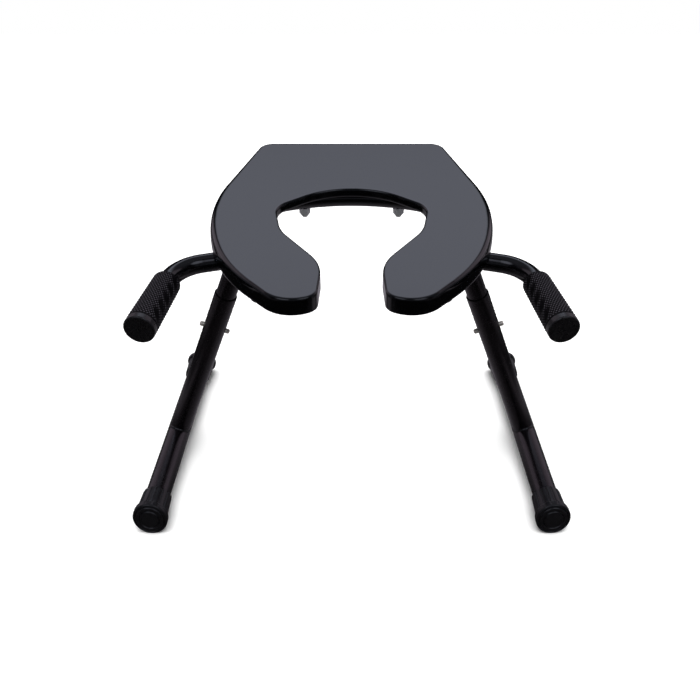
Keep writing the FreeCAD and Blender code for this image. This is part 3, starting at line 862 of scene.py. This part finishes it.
# ---------------------------------------------------------------------------
# The stool
# ---------------------------------------------------------------------------
@dataclass(frozen=True)
class Layout:
    """Places that the pieces share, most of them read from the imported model.

    grip_corner is where a grip's axis starts, from the posts' plane, grip_toe its angle off
    the Y axis, rail_toe a rail's, and splay a post's off the upright.
    """

    post_plane: float
    frame_height: float
    rail_height: float
    rail_side: float
    rail_radius: float
    grip_corner: tuple[float, float] = (205.2 * MM, -27.4 * MM)
    grip_toe: float = 6.7
    rail_toe: float = 2.46
    splay: float = 21.7

    @classmethod
    def read(cls) -> "Layout":
        """Take the shared places from the model's own boxes.

        Returns:
            The layout.
        """
        rail_low, rail_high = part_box("right_rail")
        tube_low, tube_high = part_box("frame_tube")
        return cls(
            post_plane=(rail_low.y + rail_high.y) / 2,
            frame_height=(tube_low.z + tube_high.z) / 2,
            rail_height=(rail_low.z + rail_high.z) / 2,
            rail_side=(rail_low.x + rail_high.x) / 2,
            rail_radius=(rail_high.z - rail_low.z) / 2,
        )

    def crossing(self, side: Side) -> np.ndarray:
        """Where a post's axis meets its rail's."""
        return np.array([side.value * self.rail_side, self.post_plane, self.rail_height])

    def grip_line(self, side: Side) -> Line:
        """A grip's axis, from the corner of the tube's bend towards the front.

        Args:
            side: The stool's half.

        Returns:
            The axis, with up as its out direction.
        """
        toe = math.radians(self.grip_toe)
        x, y = self.grip_corner
        return Line(np.array([side.value * x, y + self.post_plane, self.frame_height]),
                    np.array([side.value * math.sin(toe), -math.cos(toe), 0.0]),
                    np.array([0.0, 0.0, 1.0]))

    def rail_line(self, side: Side, end: End) -> Line:
        """A rail's axis, from the sleeve towards one end.

        Args:
            side: The stool's half.
            end: The end that it points to.

        Returns:
            The axis, with up as its out direction.
        """
        toe = math.radians(self.rail_toe)
        along = np.array([-side.value * math.sin(toe), math.cos(toe), 0.0]) * end.value
        return Line(self.crossing(side), along, np.array([0.0, 0.0, 1.0]))

    def post_line(self, side: Side) -> Line:
        """A post's axis, from the rail's axis upwards.

        Args:
            side: The stool's half.

        Returns:
            The axis, with the front as its out direction.
        """
        lean = math.radians(self.splay)
        along = np.array([-side.value * math.sin(lean), 0.0, math.cos(lean)])
        return Line(self.crossing(side), along, np.array([0.0, -1.0, 0.0]))


@dataclass
class KnurledGrip:
    """The rubber sleeve of a grip: fine diamond knurl with oval finger reliefs inside.

    The front edge's arc starts at edge_turn. knurl_point is the power that narrows the
    knurl's points, knurl_sink the share of their height below the plain surface, knurl_fade
    the shares of the shoulder over which they rise, and relief_bare the share of them that a
    finger relief takes off. A relief is relief_wide degrees wide to each side of relief_turn
    and leans forward by relief_slant for each degree.
    """

    layout: Layout
    side: Side
    start: float = 31.0 * MM
    stop: float = 115.4 * MM
    bore: float = 11.15 * MM
    rear_radius: float = 15.8 * MM
    front_radius: float = 16.8 * MM
    shoulder: float = 4.2 * MM
    shoulder_steps: int = 12
    edge: float = 0.5 * MM
    edge_turn: float = 75.0
    edge_steps: int = 4
    knurl_rows: float = 4.8 * MM
    knurl_round: int = 32
    knurl_height: float = 0.75 * MM
    knurl_point: float = 1.8
    knurl_sink: float = 0.35
    knurl_fade: tuple[float, float] = (0.5, 1.5)
    relief_count: int = 5
    relief_pitch: float = 15.5 * MM
    relief_start: float = 43.0 * MM
    relief_turn: float = 62.0
    relief_long: float = 5.2 * MM
    relief_wide: float = 24.0
    relief_slant: float = 0.25 * MM
    relief_depth: float = 0.75 * MM
    relief_bare: float = 0.75
    columns: int = 280
    rows: int = 230

    def profile(self) -> np.ndarray:
        """The sleeve's outline, from the bore over the shoulder to the front edge.

        Returns:
            Distance and plain radius by row.
        """
        rear = arc_run((self.start + self.shoulder, self.rear_radius - self.shoulder),
                       self.shoulder, 180.0, 90.0, self.shoulder_steps)
        length = np.linspace(self.start + self.shoulder, self.stop - self.edge, self.rows)[1:]
        share = (length - self.start - self.shoulder) / (self.stop - self.start - self.shoulder)
        radius = self.rear_radius + share * (self.front_radius - self.rear_radius)
        body = np.stack([length, radius], axis=-1)
        front = arc_run((self.stop - self.edge, self.front_radius - self.edge),
                        self.edge, self.edge_turn, 0.0, self.edge_steps)
        return np.concatenate([[(self.start, self.bore)], rear, body, front, [(self.stop, self.bore)]])

    def relief(self, distance: np.ndarray, turn: np.ndarray) -> np.ndarray:
        """How far each point sinks: soft ovals exp(-(u^2 + v^2)^2) in a slanted row.

        Args:
            distance: Distance along the axis.
            turn: Angle towards the inside from the top, in radians.

        Returns:
            0 on the plain surface to 1 in the middle of an oval.
        """
        angle = np.degrees(np.angle(np.exp(1j * (turn - math.radians(self.relief_turn)))))
        sunk = np.zeros_like(distance)
        for k in range(self.relief_count):
            centre = self.relief_start + k * self.relief_pitch
            u = (distance - centre - angle * self.relief_slant) / self.relief_long
            v = angle / self.relief_wide
            sunk = np.maximum(sunk, np.exp(-(u * u + v * v) ** 2))
        return sunk

    def knurled(self, distance: np.ndarray) -> np.ndarray:
        """Where the knurl is: it rises on the shoulder and ends at the front edge.

        Args:
            distance: Distance along the axis.

        Returns:
            0 where the surface is plain to 1 where the knurl is whole.
        """
        first, whole = (self.start + self.shoulder * share for share in self.knurl_fade)
        return (smooth_step(distance, first, whole)
                * (1.0 - smooth_step(distance, self.stop - 2 * self.edge, self.stop - self.edge)))

    def build(self) -> None:
        """Make the grip in place of the plain sleeve.

        The knurl's height is (0.5 + 0.5 cos(n t) cos(2 pi s / p)) to the power knurl_point,
        for n points round, the angle t, the distance s and the rows' pitch p.
        """
        line = self.layout.grip_line(self.side)
        distance, radius, turn = revolved(self.profile(), self.columns)
        inward = -self.side.value * np.sign(line.across[0])
        sunk = self.relief(distance, turn * inward)
        fade = self.knurled(distance)
        rows = np.cos(math.tau * distance / self.knurl_rows)
        lattice = 0.5 + 0.5 * np.cos(self.knurl_round * turn) * rows
        dots = lattice ** self.knurl_point * fade * (1.0 - self.relief_bare * sunk)
        raised = self.knurl_height * (dots - self.knurl_sink * fade)
        grid = line.points(distance, radius + raised - self.relief_depth * sunk * fade, turn)
        # The finish reads the knurl's height and paints a highlight on its tops.
        piece = Skin.wrapped(f"{self.side.prefix}_knurled_grip", grid, GRIP_RUBBER, height=dots)
        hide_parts(f"{self.side.prefix}_grip")
        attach(piece, "seat_frame")


@dataclass
class FlutedFoot:
    """A rail's rubber end: fluted collar, thick flange and a ringed, slightly domed face.

    The flange and the face lean back by tilt. lip_start and corner_cut are shares of the
    lip's radius, seam the hole left in the face's middle, and ring_shape the power that
    widens a ring's floor.
    """

    layout: Layout
    side: Side
    end: End
    reach: float = 162.0 * MM
    length: float = 39.5 * MM
    collar_open: float = 18.7 * MM
    collar_flange: float = 20.0 * MM
    flange: float = 22.5 * MM
    flange_long: float = 9.5 * MM
    flange_round: float = 2.4 * MM
    lip: float = 0.6 * MM
    lip_start: float = 1.01
    corner_cut: float = 0.1
    bore_gap: float = 0.05 * MM
    seam: float = 0.02 * MM
    flutes: int = 16
    flute_wide: float = 1.35 * MM
    flute_deep: float = 1.25 * MM
    rings: tuple[tuple[float, float], ...] = ((12.8 * MM, 1.1 * MM), (18.7 * MM, 1.5 * MM))
    ring_deep: float = 1.2 * MM
    ring_shape: float = 0.6
    dome: float = 1.2 * MM
    tilt: float = 12.0
    lip_steps: int = 6
    collar_steps: int = 60
    round_steps: int = 12
    face_steps: int = 150
    columns: int = 384

    TOLERANCE: ClassVar[float] = 0.001 * MM

    @property
    def rim(self) -> float:
        """The radius of the flat face's edge."""
        return self.flange - self.flange_round

    @property
    def back(self) -> float:
        """Where the flange starts along the rail."""
        return self.reach - self.flange_long

    def profile(self) -> np.ndarray:
        """The foot's outline, from the bore over the collar and flange to the centre.

        Returns:
            Distance and radius by row.
        """
        mouth = self.reach - self.length
        lip = arc_run((mouth + self.lip, self.collar_open - self.lip),
                      self.lip, 180.0, 90.0, self.lip_steps)
        share = np.linspace(0.0, 1.0, self.collar_steps)[1:]
        collar = np.stack([mouth + self.lip + share * (self.back - mouth - 2 * self.lip),
                           self.collar_open + share * (self.collar_flange - self.collar_open)], axis=-1)
        rear = arc_run((self.back + self.flange_round, self.rim),
                       self.flange_round, 180.0, 90.0, self.round_steps)
        front = arc_run((self.reach - self.flange_round, self.rim),
                        self.flange_round, 90.0, 0.0, self.round_steps)
        inwards = np.linspace(self.rim, self.seam, self.face_steps)[1:]
        face = np.stack([np.full_like(inwards, self.reach), inwards], axis=-1)
        start = [(mouth, self.layout.rail_radius + self.bore_gap),
                 (mouth, self.collar_open - self.lip * self.lip_start)]
        corner = [(self.back - self.lip * self.corner_cut, self.collar_flange),
                  (self.back, self.collar_flange + self.lip * self.corner_cut)]
        return np.concatenate([start, lip, collar, corner, rear, front, face])

    def face_height(self, radius: np.ndarray) -> np.ndarray:
        """The end face's dome less its two rings, each a soft channel of cosine section.

        Args:
            radius: Distance from the face's middle.

        Returns:
            The height over the flat face.
        """
        height = self.dome * (1.0 - (radius / self.rim) ** 2)
        for ring, wide in self.rings:
            near = np.clip(np.abs(radius - ring) / wide, 0.0, 1.0)
            height = height - self.ring_deep * (0.5 + 0.5 * np.cos(math.pi * near)) ** self.ring_shape
        return height

    def flute_depth(self, radius: np.ndarray, turn: np.ndarray) -> np.ndarray:
        """How deep the collar's flutes are, each a half ellipse across.

        Args:
            radius: Distance from the axis.
            turn: Angle round it in radians.

        Returns:
            The depth.
        """
        pitch = math.tau / self.flutes
        from_flute = np.abs((turn % pitch) - pitch / 2) * radius / self.flute_wide
        return self.flute_deep * np.sqrt(np.clip(1.0 - from_flute ** 2, 0.0, 1.0))

    def build(self) -> None:
        """Make the foot in place of the plain cap."""
        line = self.layout.rail_line(self.side, self.end)
        distance, radius, turn = revolved(self.profile(), self.columns)
        on_face = (distance >= self.reach - self.TOLERANCE) & (radius < self.rim)
        distance = np.where(on_face, distance + self.face_height(radius), distance)
        leaning = smooth_step(distance, self.reach - 2 * self.flange_long, self.back)
        distance = distance - leaning * math.tan(math.radians(self.tilt)) * radius * np.cos(turn)
        on_collar = (distance < self.back) & (radius > self.collar_open - self.lip)
        flute = self.flute_depth(radius, turn)
        grid = line.points(distance, radius - np.where(on_collar, flute, 0.0), turn)
        grid[..., 2] = np.maximum(grid[..., 2], 0.0)
        piece = Skin.wrapped(f"{self.side.prefix}_{self.end.prefix}_ringed_foot", grid, FOOT_RUBBER)
        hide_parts(f"{self.side.prefix}_{self.end.prefix}_foot")
        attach(piece, f"{self.side.prefix}_leg")


@dataclass
class SleeveBead:
    """The rippled weld bead in the corner between a sleeve and its rail.

    Its section is an ellipse, of bead times flat by bead times wide, and its size wavers a
    few times round the sleeve.
    """

    layout: Layout
    side: Side
    sleeve_radius: float = 14.28 * MM
    bead: float = 2.0 * MM
    flat: float = 0.72
    wide: float = 1.15
    waver: float = 0.05
    wavers: int = 7
    ripples: int = 46
    ripple_height: float = 0.16 * MM
    columns: int = 24
    steps: int = 460

    def corner(self, turn: np.ndarray) -> np.ndarray:
        """Where the sleeve's wall meets the rail's, for each angle round the sleeve.

        A point p + t a on the sleeve's wall is on the rail when its distance from the
        rail's axis is the rail's radius, a quadratic in t whose larger root is on top.

        Args:
            turn: The angles in radians.

        Returns:
            One point for each angle.
        """
        post = self.layout.post_line(self.side)
        rail = self.layout.rail_line(self.side, End.FRONT)
        wall = np.full_like(turn, self.sleeve_radius)
        base = square_to(post.points(np.zeros_like(turn), wall, turn) - rail.origin, rail.along)
        step = post.along - (post.along @ rail.along) * rail.along
        a = step @ step
        b = 2 * (base @ step)
        c = (base * base).sum(axis=1) - self.layout.rail_radius ** 2
        t = (-b + np.sqrt(b * b - 4 * a * c)) / (2 * a)
        return post.points(t, wall, turn)

    def build(self) -> None:
        """Make the bead in place of the plain fillet."""
        post = self.layout.post_line(self.side)
        rail = self.layout.rail_line(self.side, End.FRONT)
        turn = full_turn(self.steps)
        path = self.corner(turn)
        forward = unit(np.roll(path, -1, axis=0) - np.roll(path, 1, axis=0))
        outward = (unit(square_to(path - post.origin, post.along))
                   + unit(square_to(path - rail.origin, rail.along)))
        outward = unit(outward - (outward * forward).sum(axis=1)[:, None] * forward)
        sideways = np.cross(forward, outward)
        ripple = np.sqrt((turn * self.ripples / math.tau) % 1.0)
        size = self.bead * (1.0 + self.waver * np.sin(self.wavers * turn)) + self.ripple_height * ripple
        around = full_turn(self.columns)[None, :, None]
        ring = (np.cos(around) * outward[:, None, :] * self.flat
                + np.sin(around) * sideways[:, None, :] * self.wide)
        grid = path[:, None, :] + size[:, None, None] * ring
        grid = np.concatenate([grid, grid[:1]])
        piece = Skin.wrapped(f"{self.side.prefix}_sleeve_bead", grid, WELD_COAT)
        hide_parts(f"{self.side.prefix}_sleeve_weld")
        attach(piece, f"{self.side.prefix}_leg")


@dataclass
class Dressing:
    """Gives each node of the construction model its finish; sided names take a side's prefix."""

    plain: dict[str, Finish] = field(default_factory=lambda: {
        "seat": SEAT_PLASTIC,
        "seat_bolts": ZINC,
        "saddle_washers": ZINC,
        "lock_nuts": ZINC,
        "lock_rings": NYLON,
        "seat_bumpers": BUMPER_RUBBER,
        "frame_tube": ARM_COAT,
    })
    sided: dict[str, Finish] = field(default_factory=lambda: {
        "post": LEG_COAT,
        "post_weld": WELD_COAT,
        "grip": GRIP_RUBBER,
        "grip_cap": CAP_RUBBER,
        "spring_clip": SPRING_STEEL,
        "outer_button": NICKEL,
        "inner_button": NICKEL,
        "sleeve": LEG_COAT,
        "sleeve_weld": WELD_COAT,
        "rail": LEG_COAT,
        "front_foot": FOOT_RUBBER,
        "rear_foot": FOOT_RUBBER,
    })

    def finishes(self) -> dict[str, Finish]:
        """Every node's finish by its full name."""
        sides = {f"{side.prefix}_{name}": finish for side in Side for name, finish in self.sided.items()}
        return {**self.plain, **sides}

    def build(self, nodes: dict) -> None:
        """Assign the finishes.

        Args:
            nodes: The model's nodes by name.
        """
        for name, finish in self.finishes().items():
            piece = nodes[name]
            for slot in piece.material_slots:
                slot.material = finish.material()
            LOG.info("%s wears %s", name, finish.name)


def main() -> None:
    """Build the studio and the stool's looks."""
    logging.basicConfig(level=logging.INFO, format="%(message)s")
    bpy.context.scene.view_settings.view_transform = "Standard"
    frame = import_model()
    layout = Layout.read()
    Studio(layout.post_plane).build()
    Dressing().build(frame["nodes"])
    for side in Side:
        KnurledGrip(layout, side).build()
        SleeveBead(layout, side).build()
        for end in End:
            FlutedFoot(layout, side, end).build()


if __name__ == "__main__":
    main()
